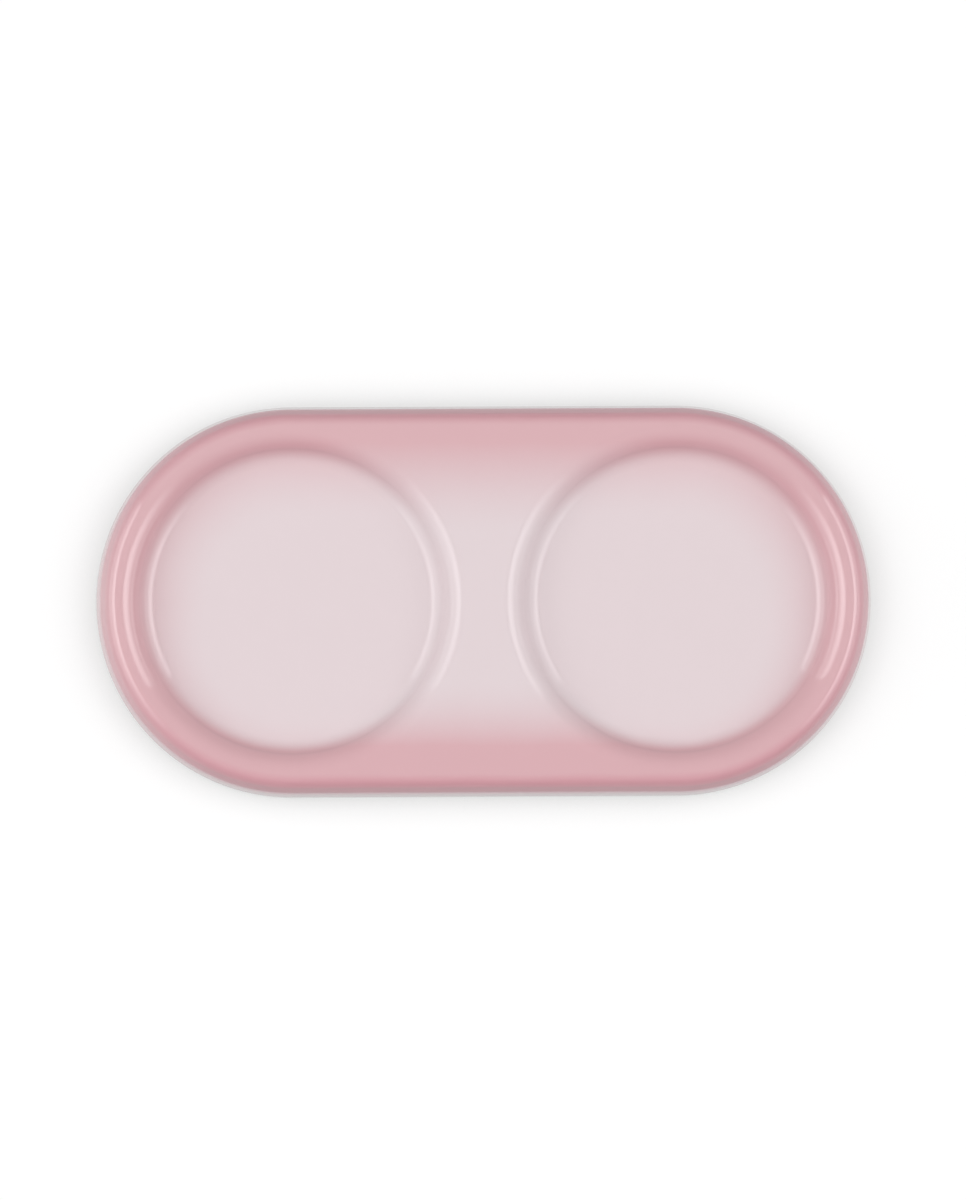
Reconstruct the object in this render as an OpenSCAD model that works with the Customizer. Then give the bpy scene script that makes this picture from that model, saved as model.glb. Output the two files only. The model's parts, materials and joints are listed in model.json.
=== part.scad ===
// Tray for a pair of table mills: one pressed stoneware body with a pill-shaped outline and two round wells,
// glazed all over but for the foot ring it stands on. Millimetres, +Z up, origin on the table under the middle.

/* [Wells] */
// Diameter of the base of the mill that a well takes
mill_base_d = 63; // [50:0.5:80]
// Room between the mill's base and the flat floor's edge, on the diameter
mill_clearance = 4; // [1:0.5:6]
// Depth of a well below the land
well_depth = 5.25; // [5.25:0.075:9]
// Radius of the hollow curve between a well's floor and its wall
well_fillet_r = 4.2075; // [2.55:0.0425:4.335]
// Radius of the rounded lip round a well
well_lip_r = 5.44; // [2.55:0.0425:5.525]
// Width of the flat land between the two lips, at the narrowest place
bridge_w = 9.85; // [4:0.05:40]

/* [Rim and outer wall] */
// Overall height of the tray
tray_h = 16; // [14:0.1:24]
// Width of the flat crest between a lip and the shoulder, at the ends
crest_w = 0.75; // [0.25:0.05:12]
// Radius of the shoulder between the land and the outer wall
shoulder_r = 3.1875; // [2.55:0.0425:5.1]

/* [Foot ring] */
// Width of the flat ring that stands on the table
foot_w = 4; // [3:0.1:8]
// Radius of the foot ring's outer edge
foot_outer_r = 1.275; // [0.425:0.0425:1.7]
// Radius of the foot ring's inner edge
foot_inner_r = 0.85; // [0.425:0.0425:1.275]
// Height of the glazed recess inside the foot ring
recess_h = 3.4; // [2.8:0.05:3.8]
// Radius of the hollow curve between the foot ring and the recess
recess_fillet_r = 2.55; // [1.7:0.0425:2.55]

/* [Glaze] */
// Thickness of the fired glaze coat
glaze_t = 0.425; // [0.2125:0.0425:0.68]
// Height of the glaze's edge on the outer wall, above the table
wall_glaze_line = 1.9; // [1.7:0.05:4]
// Height of the glaze's edge inside the foot ring, above the table
recess_glaze_line = 1; // [0.8:0.05:1.5]

/* [Hidden] */
$fn = 64;
// How far a cutting shape runs past what it cuts
past = 4;

// Run and rise of the wells' walls, of the outer wall, and of the foot ring's inner side. They are whole-number
// triangles, and the radii above go up in even steps, so that each arc meets its flat at a round coordinate.
well_wall = [8, 15];
outer_wall = [13, 84];
foot_side = [8, 15];
well_slope = well_wall / norm(well_wall);
wall_slope = outer_wall / norm(outer_wall);
foot_slope = foot_side / norm(foot_side);
well_lean = well_wall.x / well_wall.y;
wall_lean = outer_wall.x / outer_wall.y;
foot_lean = foot_side.x / foot_side.y;

// A well's floor, the straight part of its wall, and its mouth where the lip meets the land
well_floor_r = (mill_base_d + mill_clearance) / 2;
well_curves_h = (well_fillet_r + well_lip_r) * (1 - well_slope.x);
well_straight_run = (well_depth - well_curves_h) * well_lean;
well_mouth_r = well_floor_r + (well_fillet_r + well_lip_r) * well_slope.y + well_straight_run;
well_floor_z = tray_h - well_depth;
fillet_centre = [well_floor_r, well_floor_z + well_fillet_r];
lip_centre = [well_mouth_r, tray_h - well_lip_r];

// The wells stand this far apart, and the outline's round ends are concentric with them
well_pitch = 2 * well_mouth_r + bridge_w;
shoulder_centre = [well_mouth_r + crest_w, tray_h - shoulder_r];
wall_normal = [wall_slope.y, wall_slope.x];

// The bare body's wall runs down to the foot ring's outer edge, and the ring's inner side up to the recess
body_shoulder_end = shoulder_centre + (shoulder_r - glaze_t) * wall_normal;
foot_outer_z = foot_outer_r * (1 + wall_normal.y);
foot_outer_centre = [
    body_shoulder_end.x + (body_shoulder_end.y - foot_outer_z) * wall_lean
        - foot_outer_r * wall_normal.x,
    foot_outer_r
];
foot_inner_centre = [foot_outer_centre.x - foot_w, foot_inner_r];
foot_side_normal = [foot_slope.y, foot_slope.x];
foot_side_start = foot_inner_centre - foot_inner_r * foot_side_normal;
recess_body_r = recess_fillet_r + glaze_t;
recess_fillet_z = recess_h - recess_fillet_r;
foot_side_h = recess_fillet_z + recess_body_r * foot_side_normal.y - foot_side_start.y;
recess_centre = [
    foot_side_start.x - foot_side_h * foot_lean - recess_body_r * foot_side_normal.x,
    recess_fillet_z
];

// Overall length and width, out to the edge of the glaze on the outer wall
tray_w = 2 * (shoulder_centre.x + shoulder_r * wall_normal.x
    + (shoulder_centre.y + shoulder_r * wall_normal.y - wall_glaze_line) * wall_lean);
tray_l = well_pitch + tray_w;

// The body is drawn in an upper and a lower half, which meet half-way between the recess and the wells' floors
split_z = (recess_h + well_floor_z) / 2;

// A slice of a disc about centre, between two unit directions less than a half turn apart.
module disc_slice(centre, r, from, to) {
    reach = 2 * r;
    middle = (from + to) / norm(from + to);
    translate(centre)
        intersection() {
            circle(r = r);
            polygon([[0, 0], reach * from, reach * middle, reach * to]);
        }
}

// Carries a section, drawn as distance from the spine and height, round the pill-shaped outline.
module round_the_outline() {
    for (end = [0, 180])
        rotate(end)
            translate([well_pitch / 2, 0, 0])
                rotate(-90)
                    rotate_extrude(angle = 180) children();
    translate([-well_pitch / 2, 0, 0])
        rotate([90, 0, 90])
            linear_extrude(height = well_pitch) {
                children();
                mirror([1, 0]) children();
            }
}

module at_each_well() {
    for (side = [-1, 1])
        translate([side * well_pitch / 2, 0, 0]) children();
}

// Section of the land, shoulder and outer wall above a height, as deep under the glazed surface as coat says.
module rim_section(coat, base_z) {
    r = shoulder_r - coat;
    shoulder_end = shoulder_centre + r * wall_normal;
    base_x = shoulder_end.x + (shoulder_end.y - base_z) * wall_lean;
    polygon([
        [0, base_z],
        [base_x, base_z],
        shoulder_end,
        shoulder_centre,
        [shoulder_centre.x, tray_h - coat],
        [0, tray_h - coat]
    ]);
    disc_slice(shoulder_centre, r, wall_normal, [0, 1]);
}

// Section of what lies inside a well's mouth: the floor, the hollow curve, the wall and the lip.
module well_section(coat, base_z) {
    hollow_r = well_fillet_r + coat;
    round_r = well_lip_r - coat;
    wall_side = [well_slope.y, -well_slope.x];
    difference() {
        union() {
            polygon([
                [0, base_z],
                [well_mouth_r, base_z],
                lip_centre,
                lip_centre - round_r * wall_side,
                fillet_centre + hollow_r * wall_side,
                fillet_centre,
                [well_floor_r, well_floor_z - coat],
                [0, well_floor_z - coat]
            ]);
            disc_slice(lip_centre, round_r, -wall_side, [0, 1]);
        }
        disc_slice(fillet_centre, hollow_r, [0, -1], wall_side);
    }
}

// The tray's form above a height: the rim all round, with a dished disc set in each well's mouth.
module upper_form(coat, base_z) {
    difference() {
        round_the_outline() rim_section(coat, base_z);
        at_each_well()
            translate([0, 0, base_z - past])
                cylinder(r = well_mouth_r, h = tray_h - base_z + 2 * past);
    }
    at_each_well()
        rotate_extrude() well_section(coat, base_z);
}

// Section of the body's lower half: the foot ring with its two rounded edges, and the ceiling of the recess.
module foot_section() {
    split_x = body_shoulder_end.x + (body_shoulder_end.y - split_z) * wall_lean;
    difference() {
        union() {
            polygon([
                [0, recess_h + glaze_t],
                [recess_centre.x, recess_h + glaze_t],
                recess_centre,
                recess_centre + recess_body_r * foot_side_normal,
                foot_side_start,
                foot_inner_centre,
                [foot_inner_centre.x, 0],
                [foot_outer_centre.x, 0],
                foot_outer_centre,
                foot_outer_centre + foot_outer_r * wall_normal,
                [split_x, split_z],
                [0, split_z]
            ]);
            disc_slice(foot_inner_centre, foot_inner_r, -foot_side_normal, [0, -1]);
            disc_slice(foot_outer_centre, foot_outer_r, [0, -1], wall_normal);
        }
        disc_slice(recess_centre, recess_body_r, foot_side_normal, [0, 1]);
    }
}

// Section of the space inside the foot ring, out to the bare body or, less a coat, to the glaze.
module recess_section(coat) {
    r = recess_body_r - coat;
    side_start = recess_centre + r * foot_side_normal;
    base_x = side_start.x + (side_start.y + past) * foot_lean;
    polygon([
        [0, -past],
        [base_x, -past],
        side_start,
        recess_centre,
        [recess_centre.x, recess_centre.y + r],
        [0, recess_centre.y + r]
    ]);
    disc_slice(recess_centre, r, foot_side_normal, [0, 1]);
}

// Pressed and fired clay. It shows only at the foot ring, which is wiped clean of glaze to stand in the kiln.
module stoneware_body() {
    color("#d8cdbf") {
        upper_form(glaze_t, split_z);
        round_the_outline() foot_section();
    }
}

// Glossy coat over the land, the wells, the rim and the outer wall, pink at the rim and almost white inside.
module top_glaze() {
    color("#e3bcc1")
        difference() {
            upper_form(0, wall_glaze_line);
            upper_form(glaze_t, wall_glaze_line - past);
        }
}

// Glossy pale coat on the ceiling of the recess and down the inner side of the foot ring.
module underside_glaze() {
    color("#e6dadb")
        difference() {
            round_the_outline() recess_section(0);
            round_the_outline() recess_section(glaze_t);
            translate([-tray_l / 2, -tray_w / 2, recess_glaze_line - tray_h])
                cube([tray_l, tray_w, tray_h]);
        }
}

stoneware_body();
top_glaze();
underside_glaze();
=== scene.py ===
import json
import math

import bmesh
import bpy
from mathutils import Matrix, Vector


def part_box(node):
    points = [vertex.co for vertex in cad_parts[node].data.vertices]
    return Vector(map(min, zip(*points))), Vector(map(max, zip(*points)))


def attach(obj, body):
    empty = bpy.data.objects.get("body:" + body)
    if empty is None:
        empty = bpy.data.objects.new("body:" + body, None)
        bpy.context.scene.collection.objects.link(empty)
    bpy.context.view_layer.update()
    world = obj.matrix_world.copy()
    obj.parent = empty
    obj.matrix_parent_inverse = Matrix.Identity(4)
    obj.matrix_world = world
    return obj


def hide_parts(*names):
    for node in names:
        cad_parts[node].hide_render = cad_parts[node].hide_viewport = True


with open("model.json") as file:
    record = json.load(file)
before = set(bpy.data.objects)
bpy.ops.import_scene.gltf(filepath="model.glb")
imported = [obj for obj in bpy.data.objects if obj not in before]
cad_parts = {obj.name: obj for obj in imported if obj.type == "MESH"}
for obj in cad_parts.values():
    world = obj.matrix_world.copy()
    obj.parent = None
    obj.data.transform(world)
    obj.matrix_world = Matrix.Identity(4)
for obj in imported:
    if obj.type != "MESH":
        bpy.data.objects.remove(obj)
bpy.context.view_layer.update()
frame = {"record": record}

# Stoneware body. One piece of buff clay, pressed in a mould and fired, which carries both coats of
# glaze. It shows only on the foot ring and the strip just above it, wiped clean so that the tray
# doesn't stick in the kiln. Its sections are drawn, and carried round the outline and the wells.

mm = 0.001
body_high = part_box("stoneware_body")[1]
glaze_low, glaze_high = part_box("top_glaze")
recess_low, recess_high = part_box("underside_glaze")
places = {mount["name"]: Vector(mount["pos_m"]) for mount in frame["record"]["mounts"]}
well_place = places["right_well_floor"]

tray_height = glaze_high.z
half_width = glaze_high.y
coat_thickness = glaze_high.z - body_high.z
glaze_line = glaze_low.z
half_apart = well_place.x
floor_height = well_place.z

floor_radius = 33.5 * mm
hollow_radius = 4.2075 * mm
lip_radius = 5.44 * mm
well_slope = Vector((8, 15)).normalized()
crest_width = 0.75 * mm
shoulder_radius = 3.1875 * mm
upper_wall_slope = Vector((4, 11)).normalized()
knee_depth = 5 * mm
knee_radius = 10 * mm
# The drawn sections run this far over the flat land before the fill between them takes over
flat_margin = crest_width / 3

curves = hollow_radius + lip_radius
straight_rise = tray_height - floor_height - curves * (1 - well_slope.x)
mouth_radius = (
    floor_radius + curves * well_slope.y + straight_rise * well_slope.x / well_slope.y
)
shoulder_centre = mouth_radius + crest_width
shoulder_bend = (1 - upper_wall_slope.x) / upper_wall_slope.y
upper_wall_lean = upper_wall_slope.x / upper_wall_slope.y
# The outer wall grows steeper at a knee below the shoulder, and runs from there to the glaze line
knee_out = shoulder_centre + shoulder_bend * shoulder_radius + knee_depth * upper_wall_lean
knee_height = tray_height - knee_depth
lower_wall_slope = Vector((half_width - knee_out, knee_height - glaze_line)).normalized()
lower_wall_lean = lower_wall_slope.x / lower_wall_slope.y


def well_section(coat):
    """Corners of a well's section and their roundings, from its axis to the land.

    The section lies as deep below the glazed face as coat says.
    """
    bend = (1 - well_slope.x) / well_slope.y
    hollow = hollow_radius + coat
    lip = lip_radius - coat
    return [
        (0, floor_height - coat, 0),
        (floor_radius - flat_margin, floor_height - coat, 0),
        (floor_radius + bend * hollow, floor_height - coat, hollow),
        (mouth_radius - bend * lip, tray_height - coat, lip),
        (mouth_radius + flat_margin, tray_height - coat, 0),
    ]


def wall_at(height, coat):
    """Distance from the spine to the lower outer wall at a height, so deep below the glaze."""
    return half_width - (height - glaze_line) * lower_wall_lean - coat / lower_wall_slope.y


def rim_section(coat):
    """Corners of the rim's section and their roundings, from the land to the outer wall's knee."""
    shoulder = shoulder_radius - coat
    corner = shoulder_centre + shoulder_bend * shoulder
    land = tray_height - coat
    drop = (wall_at(land, coat) - corner) / (upper_wall_lean - lower_wall_lean)
    return [
        (shoulder_centre - flat_margin, land, 0),
        (corner, land, shoulder),
        (wall_at(land - drop, coat), land - drop, knee_radius - coat),
    ]


class Wire:
    """One output of a node. Arithmetic with wires adds Math nodes to their tree."""

    def __init__(self, socket):
        self.socket = socket

    @staticmethod
    def node(tree, kind, settings=None, inputs=None, output=0):
        """Adds a node, sets it up, and gives its named or numbered inputs their values or wires."""
        node = tree.nodes.new(kind)
        for name, value in (settings or {}).items():
            setattr(node, name, value)
        for key, value in (inputs or {}).items():
            named = [socket for socket in node.inputs if socket.enabled and socket.name == key]
            socket = named[0] if named else node.inputs[key]
            for one in value if isinstance(value, list) else [value]:
                if isinstance(one, Wire):
                    tree.links.new(one.socket, socket)
                else:
                    socket.default_value = one
        shown = [socket for socket in node.outputs if socket.enabled] or [None]
        return Wire(shown[output] if isinstance(output, int) else node.outputs[output])

    @staticmethod
    def math(operation, *terms):
        """A Math node on wires and numbers, at least one of them a wire."""
        tree = next(term.socket.id_data for term in terms if isinstance(term, Wire))
        settings = {"operation": operation}
        return Wire.node(tree, "ShaderNodeMath", settings, dict(enumerate(terms)))

    def twin(self, output):
        """Another output of the same node."""
        return Wire(self.socket.node.outputs[output])

    def held(self):
        """The same value, held between 0 and 1."""
        return Wire.math("MINIMUM", Wire.math("MAXIMUM", self, 0), 1)

    def __add__(self, other):
        return Wire.math("ADD", self, other)

    def __radd__(self, other):
        return Wire.math("ADD", other, self)

    def __sub__(self, other):
        return Wire.math("SUBTRACT", self, other)

    def __rsub__(self, other):
        return Wire.math("SUBTRACT", other, self)

    def __mul__(self, other):
        return Wire.math("MULTIPLY", self, other)

    def __rmul__(self, other):
        return Wire.math("MULTIPLY", other, self)

    def __truediv__(self, other):
        return Wire.math("DIVIDE", self, other)

    def __rtruediv__(self, other):
        return Wire.math("DIVIDE", other, self)

    def __pow__(self, other):
        return Wire.math("POWER", self, other)

    def __abs__(self):
        return Wire.math("ABSOLUTE", self)

    def __mod__(self, other):
        return Wire.math("FLOORED_MODULO", self, other)

    def __floordiv__(self, other):
        return Wire.math("FLOOR", self / other)

    def __lt__(self, other):
        return Wire.math("LESS_THAN", self, other)

    def __gt__(self, other):
        return Wire.math("GREATER_THAN", self, other)


def carried_round(tree, section, apart, steps):
    """Carries a section round a half circle at each end of the spine, and along between them."""
    rows = Wire.node(
        tree, "GeometryNodeAttributeDomainSize", {"component": "CURVE"}, {"Geometry": section}
    )
    # Each half circle has one column more than it has steps, and the first closes the ring again
    columns = 2 * steps + 3
    grid = Wire.node(
        tree, "GeometryNodeMeshGrid", None, {"Vertices X": columns, "Vertices Y": rows}
    )
    index = Wire.node(tree, "GeometryNodeInputIndex")
    column = index // rows
    end = (column // (steps + 1)) % 2
    step = column % (steps + 1)
    angle = math.pi * (end + step / steps - 0.5)
    position = Wire.node(tree, "GeometryNodeInputPosition")
    drawn = Wire.node(
        tree,
        "GeometryNodeSampleIndex",
        {"data_type": "FLOAT_VECTOR"},
        {"Geometry": section, "Value": position, "Index": index % rows},
    )
    out = Wire.node(tree, "ShaderNodeSeparateXYZ", None, {"Vector": drawn}, "X")
    place = Wire.node(
        tree,
        "ShaderNodeCombineXYZ",
        None,
        {
            "X": out * Wire.math("COSINE", angle) + apart * (1 - 2 * end),
            "Y": out * Wire.math("SINE", angle),
            "Z": out.twin("Z"),
        },
    )
    return Wire.node(
        tree, "GeometryNodeSetPosition", None, {"Geometry": grid, "Position": place}
    )


def tray_form():
    """A tree that carries one section round the outline and one round each well.

    It fills the flat land between them, and welds the whole.
    """
    tree = bpy.data.node_groups.new("tray_form", "GeometryNodeTree")
    inputs = {
        "Sections": "NodeSocketGeometry",
        "Half apart": "NodeSocketFloat",
        "Land height": "NodeSocketFloat",
        "Weld": "NodeSocketFloat",
        "Turn steps": "NodeSocketInt",
        "Corner steps": "NodeSocketInt",
        "Material": "NodeSocketMaterial",
    }
    for name, kind in inputs.items():
        tree.interface.new_socket(name, in_out="INPUT", socket_type=kind)
    tree.interface.new_socket("Form", in_out="OUTPUT", socket_type="NodeSocketGeometry")
    sections = Wire.node(tree, "NodeGroupInput", None, None, "Sections")
    apart = sections.twin("Half apart")
    land = sections.twin("Land height")
    weld = sections.twin("Weld")
    steps = sections.twin("Turn steps")

    rounding = Wire.node(
        tree, "GeometryNodeInputNamedAttribute", {"data_type": "FLOAT"}, {"Name": "rounding"}
    )
    of_a_well = Wire.node(
        tree, "GeometryNodeInputNamedAttribute", {"data_type": "BOOLEAN"}, {"Name": "of_a_well"}
    )
    drawn = {}
    for name, output in (("well", "Selection"), ("rim", "Inverted")):
        corners = Wire.node(
            tree,
            "GeometryNodeSeparateGeometry",
            {"domain": "POINT"},
            {"Geometry": sections, "Selection": of_a_well},
            output,
        )
        line = Wire.node(tree, "GeometryNodeMeshToCurve", None, {"Mesh": corners})
        drawn[name] = Wire.node(
            tree,
            "GeometryNodeFilletCurve",
            {"mode": "POLY"},
            {"Curve": line, "Count": sections.twin("Corner steps"), "Radius": rounding},
        )

    rim = carried_round(tree, drawn["rim"], apart, steps)
    well = carried_round(tree, drawn["well"], 0, steps)
    left = Wire.node(tree, "ShaderNodeCombineXYZ", None, {"X": -1 * apart})
    right = Wire.node(tree, "ShaderNodeCombineXYZ", None, {"X": apart})
    # With end points, the line's fourth input is where it ends
    centres = Wire.node(
        tree,
        "GeometryNodeMeshLine",
        {"mode": "END_POINTS"},
        {"Count": 2, "Start Location": left, 3: right},
    )
    wells = Wire.node(
        tree, "GeometryNodeInstanceOnPoints", None, {"Points": centres, "Instance": well}
    )
    both = Wire.node(tree, "GeometryNodeRealizeInstances", None, {"Geometry": wells})
    swept = Wire.node(tree, "GeometryNodeJoinGeometry", None, {"Geometry": [rim, both]})
    welded = Wire.node(
        tree, "GeometryNodeMergeByDistance", None, {"Geometry": swept, "Distance": weld}
    )

    sides = Wire.node(tree, "GeometryNodeInputMeshEdgeNeighbors")
    place = Wire.node(tree, "GeometryNodeInputPosition")
    height = Wire.node(tree, "ShaderNodeSeparateXYZ", None, {"Vector": place}, "Z")
    border = (sides < 2) * (abs(height - land) < weld)
    loops = Wire.node(
        tree, "GeometryNodeMeshToCurve", None, {"Mesh": welded, "Selection": border}
    )
    filled = Wire.node(tree, "GeometryNodeFillCurve", {"mode": "TRIANGLES"}, {"Curve": loops})
    lift = Wire.node(tree, "ShaderNodeCombineXYZ", None, {"Z": land})
    level = Wire.node(
        tree, "GeometryNodeSetPosition", None, {"Geometry": filled, "Offset": lift}
    )
    whole = Wire.node(tree, "GeometryNodeJoinGeometry", None, {"Geometry": [welded, level]})
    closed = Wire.node(
        tree, "GeometryNodeMergeByDistance", None, {"Geometry": whole, "Distance": weld}
    )
    real = Wire.node(tree, "GeometryNodeRealizeInstances", None, {"Geometry": closed})
    painted = Wire.node(
        tree,
        "GeometryNodeSetMaterial",
        None,
        {"Geometry": real, "Material": sections.twin("Material")},
    )
    Wire.node(tree, "NodeGroupOutput", {"is_active_output": True}, {"Form": painted})
    return tree


form = tray_form()
weld_distance = 0.002 * mm
turn_steps = 96
corner_steps = 20
sharp_angle = math.radians(30)


def formed(name, rim, well, land_height, material):
    """A plain mesh of the tray's form, from the corners of a rim section and a well section."""
    mesh = bpy.data.meshes.new(name)
    corners = rim + well
    links = [(i, i + 1) for i in range(len(corners) - 1) if i + 1 != len(rim)]
    mesh.from_pydata([(out, 0, up) for out, up, _ in corners], links, [])
    rounding = mesh.attributes.new("rounding", "FLOAT", "POINT")
    of_a_well = mesh.attributes.new("of_a_well", "BOOLEAN", "POINT")
    for i, corner in enumerate(corners):
        rounding.data[i].value = corner[2]
        of_a_well.data[i].value = i >= len(rim)
    drawn = bpy.data.objects.new(name, mesh)
    bpy.context.scene.collection.objects.link(drawn)
    modifier = drawn.modifiers.new("form", "NODES")
    modifier.node_group = form
    values = {
        "Half apart": half_apart,
        "Land height": land_height,
        "Weld": weld_distance,
        "Turn steps": turn_steps,
        "Corner steps": corner_steps,
        "Material": material,
    }
    for socket in form.interface.items_tree:
        if socket.name in values:
            modifier[socket.identifier] = values[socket.name]
    evaluated = drawn.evaluated_get(bpy.context.evaluated_depsgraph_get())
    plain = bpy.data.meshes.new_from_object(evaluated)
    bpy.data.objects.remove(drawn)
    bpy.data.meshes.remove(mesh)
    return plain


def finished(name, faces, material, node):
    """One closed piece in the place of a CAD node, welded from its faces, smooth but at edges."""
    joined = bmesh.new()
    for mesh in faces:
        joined.from_mesh(mesh)
        bpy.data.meshes.remove(mesh)
    bmesh.ops.remove_doubles(joined, verts=joined.verts, dist=weld_distance)
    bmesh.ops.recalc_face_normals(joined, faces=joined.faces)
    for polygon in joined.faces:
        polygon.smooth = True
    whole = bpy.data.meshes.new(name)
    joined.to_mesh(whole)
    joined.free()
    whole.set_sharp_from_angle(angle=sharp_angle)
    whole.materials.append(material)
    piece = bpy.data.objects.new(name, whole)
    bpy.context.scene.collection.objects.link(piece)
    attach(piece, "root")
    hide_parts(node)


def surface(name):
    """A new material, its tree, its shader, and the place on the object as a wire."""
    material = bpy.data.materials.new(name)
    material.use_nodes = True
    tree = material.node_tree
    place = Wire.node(tree, "ShaderNodeTexCoord", None, None, "Object")
    return material, tree, tree.nodes["Principled BSDF"], place


def noise(tree, place, size, detail):
    """Smooth noise from 0 to 1 whose lumps are about the given size."""
    inputs = {"Vector": place, "Scale": 1 / size, "Detail": detail}
    return Wire.node(tree, "ShaderNodeTexNoise", None, inputs, "Fac")


def specks(tree, place, apart, radius, share):
    """Soft round specks from 0 to 1, in a share of the cells that lie about so far apart."""
    inputs = {"Vector": place, "Scale": 1 / apart}
    near = Wire.node(tree, "ShaderNodeTexVoronoi", None, inputs, "Distance")
    colour = {"Color": near.twin("Color")}
    lot = Wire.node(tree, "ShaderNodeSeparateColor", None, colour, "Red")
    return (1 - near * (apart / radius)).held() * (lot < share)


def mixed(tree, factor, first, second, blend="MIX"):
    """The first colour, with the second mixed or blended in by a factor from 0 to 1."""
    settings = {"data_type": "RGBA", "blend_type": blend}
    return Wire.node(
        tree, "ShaderNodeMix", settings, {"Factor": factor, "A": first, "B": second}
    )


def feed(shader, **wires):
    """Links wires to the shader's inputs, named with an underscore for each space."""
    for name, wire in wires.items():
        shader.id_data.links.new(wire.socket, shader.inputs[name.replace("_", " ")])


def bumped(tree, height, depth):
    """A normal raised by a height from 0 to 1, over so deep a relief."""
    inputs = {"Height": height, "Distance": depth}
    return Wire.node(tree, "ShaderNodeBump", None, inputs, "Normal")


buff = (0.56, 0.47, 0.37, 1)
pale_buff = (0.66, 0.58, 0.48, 1)
iron_brown = (0.16, 0.09, 0.05, 1)
clay_cloud_size = 9 * mm
clay_cloud_share = 0.6
grain_size = 0.5 * mm
iron_apart = 1.6 * mm
iron_radius = 0.28 * mm
iron_share = 0.3
iron_cover = 0.75
iron_pit = 0.5
clay_roughness = 0.78
grain_roughness = 0.14
clay_relief = 0.06 * mm

clay, tree, shader, place = surface("fired_clay")
grain = noise(tree, place, grain_size, detail=4)
clay_cloud = noise(tree, place, clay_cloud_size, detail=3)
iron = specks(tree, place, iron_apart, iron_radius, iron_share)
paleness = clay_cloud_share * clay_cloud + (1 - clay_cloud_share) * grain
body_colour = mixed(tree, paleness, buff, pale_buff)
feed(
    shader,
    Base_Color=mixed(tree, iron_cover * iron, body_colour, iron_brown),
    Roughness=clay_roughness + grain_roughness * grain,
    Normal=bumped(tree, grain - iron_pit * iron, clay_relief),
)

foot_width = 4 * mm
foot_outer_radius = 1.275 * mm
foot_inner_radius = 0.85 * mm
foot_slope = Vector((8, 15)).normalized()
recess_radius = 2.55 * mm
foot_outer = wall_at(0, coat_thickness)
foot_outer_bend = (1 + lower_wall_slope.x) / lower_wall_slope.y
foot_inner_bend = (1 - foot_slope.x) / foot_slope.y
foot_flat_outer = foot_outer - foot_outer_radius * foot_outer_bend
foot_inner = foot_flat_outer - foot_width - foot_inner_radius * foot_inner_bend


def foot_side_at(height, coat):
    """Distance from the spine to the foot ring's inner side at a height, so far off the clay."""
    return foot_inner - height * foot_slope.x / foot_slope.y - coat / foot_slope.y


ceiling = [
    (foot_side_at(recess_high.z, 0), recess_high.z, recess_radius + coat_thickness),
    (0, recess_high.z, 0),
]
foot = [(foot_outer, 0, foot_outer_radius), (foot_inner, 0, foot_inner_radius)]
bare_rim = rim_section(coat_thickness) + foot + ceiling
bare_well = well_section(coat_thickness)
bare_land = tray_height - coat_thickness
finished(
    "stoneware_body_fired",
    [formed("body", bare_rim, bare_well, bare_land, clay)],
    clay,
    "stoneware_body",
)

# Top glaze. A glossy coat fired on over the land, the wells, the rim and the outer wall, down to a
# line above the foot. Over the almost white ground a pink was sprayed from all round the rim, so it
# fades inwards, where it goes farther along the front, and pales towards the foot of the wall. On
# the long sides that pale foot is also a painted reflection of the white paper. A deeper pink on
# the rim's long sides and on the wells' walls is partly the spray's own and partly painted shade.

pale = (0.775, 0.668, 0.688, 1)
pink = (0.725, 0.454, 0.482, 1)
# Deep pink: partly the spray's own, partly painted shade
shaded_deep_pink = (0.69, 0.355, 0.4, 1)
speck_brown = (0.45, 0.27, 0.24, 1)
white = (1, 1, 1, 1)
cloud_grey = (0.985, 0.985, 0.985, 1)

# How far in from the wall's foot the pink stays full, and where it is gone, all round and in front
pink_full = 9.25 * mm
pink_gone = 31.5 * mm
front_full = 12.5 * mm
front_gone = 25 * mm
front_share = 1.25
pink_falloff = 1.5
# The floors of the wells lie deeper and caught less of the spray, so there it ends sooner
floor_shift = 4.25 * mm
front_floor_shift = 9 * mm
floor_shift_bend = 5

# How far in the deepest pink of the rim stays full and is gone, and its share in other places.
# This deep pink is partly the spray's own and partly painted shade, most where the long sides and
# the wells' walls get less light.
deep_full = 2.4 * mm
deep_gone = 4.8 * mm
deep_front = 1 * mm
deep_at_right_end = 0.5
deep_in_wells = 0.25
deep_at_back = 0.4
deep_along_front = 0.15

# The outer wall turns pale between these depths below the land, most of all on the long sides,
# where the paleness is partly the glaze's own and partly a painted reflection of the white paper.
wall_pale_from = 6.5 * mm
wall_pale_to = 13.5 * mm
pale_at_ends = 0.2
pale_at_sides_only = 6

# The spray's edge wanders and is grainy, and the melted glaze is a little cloudy and dimpled
spray_wander = 1.6 * mm
rim_wander_share = 0.5
wander_size = 16 * mm
droplet_size = 0.45 * mm
droplet_share = 0.1
cloud_size = 7 * mm
fleck_apart = 5 * mm
fleck_radius = 0.2 * mm
fleck_share = 0.12
fleck_cover = 0.2
peel_size = 2.2 * mm
peel_relief = 0.004 * mm
glaze_roughness = 0.03
cloud_roughness = 0.03
glaze_reflection = 0.32
spray_gloss = 0.48
spray_roughness = 0.03


def midway(share):
    """1 where a share is a half, falling to 0 where it is 0 or 1."""
    return 4 * share * (1 - share)


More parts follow.
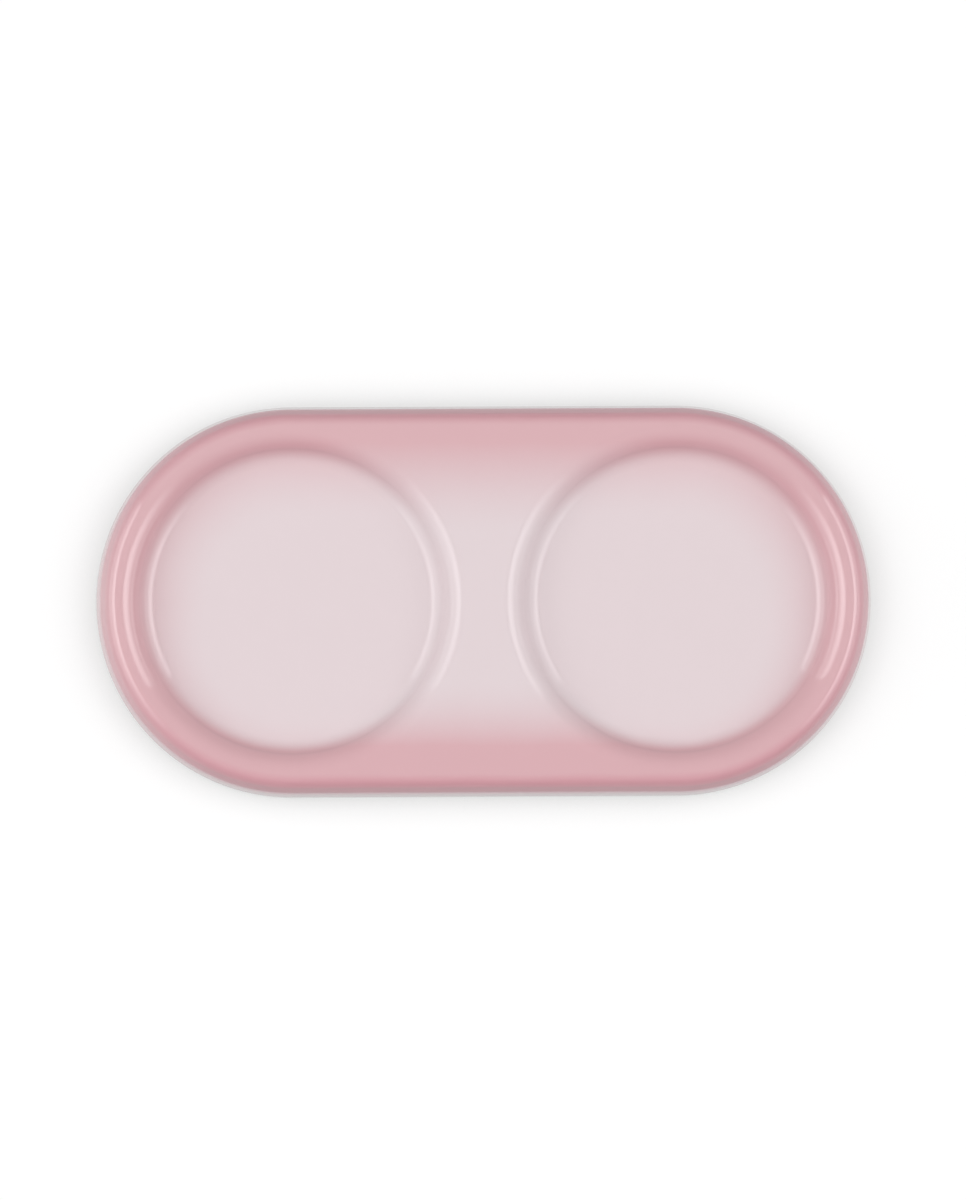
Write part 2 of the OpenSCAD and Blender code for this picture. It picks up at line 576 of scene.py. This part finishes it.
rose, tree, shader, place = surface("sprayed_glaze")
x = Wire.node(tree, "ShaderNodeSeparateXYZ", None, {"Vector": place}, "X")
y = x.twin("Y")
depth = tray_height - x.twin("Z")
past_spine = Wire.math("MAXIMUM", abs(x) - half_apart, 0)
from_spine = (past_spine * past_spine + y * y) ** 0.5
inset = half_width - from_spine
sideways = abs(y) / from_spine
on_wall = from_spine > shoulder_centre
down_well = (1 - on_wall) * (depth / (tray_height - floor_height)).held()
front = (-front_share * y / half_width).held()
back = (front_share * y / half_width).held()

wander = spray_wander * (noise(tree, place, wander_size, detail=2) - 0.5)
shift = floor_shift + (front_floor_shift - floor_shift) * front
sprayed_over = inset + shift * down_well ** floor_shift_bend + wander
full = pink_full + (front_full - pink_full) * front
gone = pink_gone + (front_gone - pink_gone) * front
ombre = (1 - (sprayed_over - full) / (gone - full)).held() ** pink_falloff

# Painted shade: the deep pink darkens the rim's long sides and the wells' walls, over the spray's
# own deeper tone
rim_inset = inset + rim_wander_share * wander - deep_front * front
at_rim = (1 - (rim_inset - deep_full) / (deep_gone - deep_full)).held()
at_ends = deep_at_right_end * (x > 0)
at_sides = at_ends + (1 - at_ends) * sideways
on_well_wall = (deep_in_wells + deep_at_back * back) * midway(down_well) * (1 - front)
inside = Wire.math("MAXIMUM", on_well_wall, deep_along_front * front)
deep_pink_and_shade = Wire.math("MAXIMUM", at_rim * at_sides, inside)

# Painted reflection: on the long sides the lower wall is paled as if it mirrored the white paper
pale_and_reflection_share = pale_at_ends + (1 - pale_at_ends) * sideways ** pale_at_sides_only
wall_paleness = ((depth - wall_pale_from) / (wall_pale_to - wall_pale_from)).held()
pale_foot_and_reflection = on_wall * pale_and_reflection_share * wall_paleness
droplets = droplet_share * (noise(tree, place, droplet_size, detail=2) - 0.5)
sprayed = (ombre * (1 - pale_foot_and_reflection) + droplets * midway(ombre)).held()

cloud = noise(tree, place, cloud_size, detail=3)
flecks = specks(tree, place, fleck_apart, fleck_radius, fleck_share)
ground = mixed(tree, sprayed, pale, mixed(tree, deep_pink_and_shade, pink, shaded_deep_pink))
shaded = mixed(tree, 1.0, ground, mixed(tree, cloud, cloud_grey, white), "MULTIPLY")
below_land = on_wall * (depth / shoulder_radius).held()
shader.inputs["Specular IOR Level"].default_value = glaze_reflection
shader.inputs["Coat Roughness"].default_value = spray_roughness
feed(
    shader,
    Base_Color=mixed(tree, fleck_cover * flecks, shaded, speck_brown),
    Roughness=glaze_roughness + cloud_roughness * cloud,
    Coat_Weight=spray_gloss * sprayed * (1 - below_land),
    Normal=bumped(tree, noise(tree, place, peel_size, detail=2), peel_relief),
)

glaze_edge_radius = 0.3 * mm
bare_edge = (wall_at(glaze_line, coat_thickness), glaze_line, 0)
glazed_edge = (wall_at(glaze_line, 0), glaze_line, glaze_edge_radius)
glazed_rim = rim_section(0) + [glazed_edge, bare_edge]
under_rim = rim_section(coat_thickness) + [bare_edge]
finished(
    "top_glaze_fired",
    [
        formed("over", glazed_rim, well_section(0), tray_height, rose),
        formed("under", under_rim, bare_well, bare_land, rose),
    ],
    rose,
    "top_glaze",
)

# Underside glaze. The same glossy coat without the pink, poured over the ceiling of the recess and
# part of the way down the foot ring's inner side, where it was wiped off again at a line. It seals
# the base and keeps it clean.

milk_white = (0.74, 0.65, 0.65, 1)
milk_shade = (0.69, 0.59, 0.59, 1)
milk_cloud_size = 12 * mm
milk_fleck_apart = 4 * mm
milk_fleck_radius = 0.22 * mm
milk_fleck_share = 0.2
milk_fleck_cover = 0.35
milk_peel_size = 2.5 * mm
milk_peel_relief = 0.006 * mm
milk_roughness = 0.09
milk_cloud_roughness = 0.07

milk, tree, shader, place = surface("poured_glaze")
cloud = noise(tree, place, milk_cloud_size, detail=3)
flecks = specks(tree, place, milk_fleck_apart, milk_fleck_radius, milk_fleck_share)
clouded = mixed(tree, cloud, milk_white, milk_shade)
feed(
    shader,
    Base_Color=mixed(tree, milk_fleck_cover * flecks, clouded, speck_brown),
    Roughness=milk_roughness + milk_cloud_roughness * cloud,
    Normal=bumped(tree, noise(tree, place, milk_peel_size, detail=2), milk_peel_relief),
)

wipe_line = recess_low.z
wiped_edge_radius = 0.25 * mm
ceiling_height = recess_high.z - coat_thickness
coat_section = ceiling[::-1] + [
    (foot_side_at(wipe_line, 0), wipe_line, 0),
    (foot_side_at(wipe_line, coat_thickness), wipe_line, wiped_edge_radius),
    (foot_side_at(ceiling_height, coat_thickness), ceiling_height, recess_radius),
    (0, ceiling_height, 0),
]
finished(
    "underside_glaze_fired",
    [formed("coat", coat_section, [], tray_height, milk)],
    milk,
    "underside_glaze",
)

# Floor. A white sweep of paper that the tray stands on. It shows as plain white to the camera and
# in reflections, and keeps the tray's soft shadow, which is deepest close round the foot, where a
# painted shadow from ambient occlusion also dims its glow.

black = (0, 0, 0, 1)
paper_white = (0.25, 0.25, 0.25, 1)
paper_shade = (0.45, 0.45, 0.45, 1)
# Far from the tray less light falls on the paper, so it glows more there to stay white
paper_glow = 0.765
far_glow = 0.95
far_from = 0.35
far_to = 0.9
painted_shadow_reach = 12 * mm
painted_shadow_samples = 8
paper_reach = 4
paper_corners = 64
below_foot = 0.02 * mm

paper, tree, shader, place = surface("white_paper")
shader.inputs["Specular IOR Level"].default_value = 0
shader.inputs["Roughness"].default_value = 1
shader.inputs["Emission Strength"].default_value = 1
camera_ray = Wire.node(tree, "ShaderNodeLightPath", None, None, "Is Camera Ray")
glossy_ray = camera_ray.twin("Is Glossy Ray")
seen = (camera_ray + glossy_ray + camera_ray.twin("Is Transmission Ray")).held()
off_middle = Wire.node(
    tree, "ShaderNodeVectorMath", {"operation": "LENGTH"}, {"Vector": place}, "Value"
)
far = ((off_middle - far_from) / (far_to - far_from)).held()
# Painted shadow: ambient occlusion dims the paper's glow close round the tray's foot
painted_shadow = 1 - Wire.node(
    tree,
    "ShaderNodeAmbientOcclusion",
    {"samples": painted_shadow_samples},
    {"Distance": painted_shadow_reach},
    "AO",
)
glow = (paper_glow + (far_glow - paper_glow) * far) * (1 - painted_shadow * painted_shadow) * seen
feed(
    shader,
    Base_Color=mixed(tree, seen, paper_shade, paper_white),
    Emission_Color=mixed(tree, glow, black, white),
)

sheet = bpy.data.meshes.new("floor")
drawn = bmesh.new()
bmesh.ops.create_circle(drawn, cap_ends=True, segments=paper_corners, radius=paper_reach)
bmesh.ops.translate(drawn, vec=(0, 0, -below_foot), verts=drawn.verts)
drawn.to_mesh(sheet)
drawn.free()
sheet.materials.append(paper)
floor = bpy.data.objects.new("floor", sheet)
bpy.context.scene.collection.objects.link(floor)

# Lights. Two tall softboxes stand at the tray's two ends and reach up over it, hot high up and dim
# lower down. Their rear ends are cut off, and their front ends fade away. Below each a card throws
# light back on the walls, and is kept out of reflections.

studio_level = 0.22
light_reach = 0.9
# Seen from the tray, zenith angles start straight up, and bearings straight out at its ends
hot_zenith = math.radians(26)
hot_limits = math.radians(31), math.radians(15)
hot_peak = 1.5
hot_radiance = 4.4
dim_zenith = math.radians(62)
dim_limits = math.radians(12), math.radians(10)
left_dim_share = 0.52
right_dim_share = 0.4
card_top_zenith = math.radians(60)
card_base_zenith = math.radians(80)
left_card_radiance = 1.0
right_card_radiance = 0.65
front_bearing = math.radians(-43)
rear_bearing = math.radians(34)
bearing_limits = math.radians(55), math.radians(45)
front_end = light_reach * math.tan(front_bearing)
rear_end = light_reach * math.tan(rear_bearing)
upright_turn = math.radians(90)

world = bpy.data.worlds.new("studio")
bpy.context.scene.world = world
world.use_nodes = True
world.node_tree.nodes["Background"].inputs["Color"].default_value = white
world.node_tree.nodes["Background"].inputs["Strength"].default_value = studio_level


def dome(offset, over, under):
    """Falls from 1 at no offset to 0 at the two limits, over and under."""
    share = Wire.math("MAXIMUM", offset / over, -1 * offset / under)
    return (1 - share * share).held()


def upright(name, side, top_zenith, base_zenith, radiance):
    """An upright light on one side, which the tray sees between two zenith angles."""
    top = light_reach / math.tan(top_zenith)
    base = light_reach / math.tan(base_zenith)
    lamp = bpy.data.lights.new(name, "AREA")
    lamp.shape = "RECTANGLE"
    lamp.size = rear_end - front_end
    lamp.size_y = top - base
    lamp.energy = math.pi * lamp.size * lamp.size_y * radiance
    holder = bpy.data.objects.new(name, lamp)
    holder.location = (side * light_reach, (front_end + rear_end) / 2, (base + top) / 2)
    holder.rotation_euler = (upright_turn, 0, upright_turn * side)
    holder.visible_camera = False
    bpy.context.scene.collection.objects.link(holder)
    return holder


def softbox(name, side, dim_share):
    """A softbox on one side, with the share of its hottest radiance that its dim part has."""
    top_zenith = hot_zenith - hot_limits[1]
    base_zenith = dim_zenith + dim_limits[0]
    lamp = upright(name, side, top_zenith, base_zenith, hot_radiance).data
    lamp.use_nodes = True
    tree = lamp.node_tree
    place = Wire.node(tree, "ShaderNodeNewGeometry", None, None, "Position")
    y = Wire.node(tree, "ShaderNodeSeparateXYZ", None, {"Vector": place}, "Y")
    along = dome(Wire.math("ARCTAN2", y, light_reach), *bearing_limits)
    zenith = Wire.math("ARCTAN2", light_reach, y.twin("Z"))
    hot = dome(zenith - hot_zenith, *hot_limits) ** hot_peak
    dim = dim_share * dome(zenith - dim_zenith, *dim_limits)
    level = along * Wire.math("MAXIMUM", hot, dim)
    tree.links.new(level.socket, tree.nodes["Emission"].inputs["Color"])


def card(name, side, radiance):
    """A low card on one side, which lights the walls and shows in no reflection."""
    holder = upright(name, side, card_top_zenith, card_base_zenith, radiance)
    holder.visible_glossy = False


softbox("left_softbox", -1, left_dim_share)
softbox("right_softbox", 1, right_dim_share)
card("left_card", -1, left_card_radiance)
card("right_card", 1, right_card_radiance)

# Camera. It looks down on the tray from far off, a little from the left and from the front, and is
# turned a little. The tray's two ends and its middle lie where they do in the photograph.

frame_pixels = Vector((967, 1200))
tray_pixels = (96.3, 870.8)
tray_middle = Vector((483.55, 601.6))
tray_turn = math.radians(0.27)
from_front = math.radians(1.5)
from_left = math.radians(1.1)
camera_distance = 6

pixel = (glaze_high.x - glaze_low.x) / (tray_pixels[1] - tray_pixels[0])
off_centre = (tray_middle - frame_pixels / 2) * pixel
aim = Vector((-off_centre.x, off_centre.y, glaze_line))
lens = bpy.data.cameras.new("camera")
lens.lens = lens.sensor_width * camera_distance / (frame_pixels.y * pixel)
lens.clip_end = 2 * camera_distance
camera = bpy.data.objects.new("camera", lens)
camera.rotation_mode = "ZYX"
camera.rotation_euler = (from_front, -from_left, -tray_turn)
camera.location = aim + camera.rotation_euler.to_matrix() @ Vector((0, 0, camera_distance))
bpy.context.scene.collection.objects.link(camera)
bpy.context.scene.camera = camera
bpy.context.scene.view_settings.view_transform = "Standard"
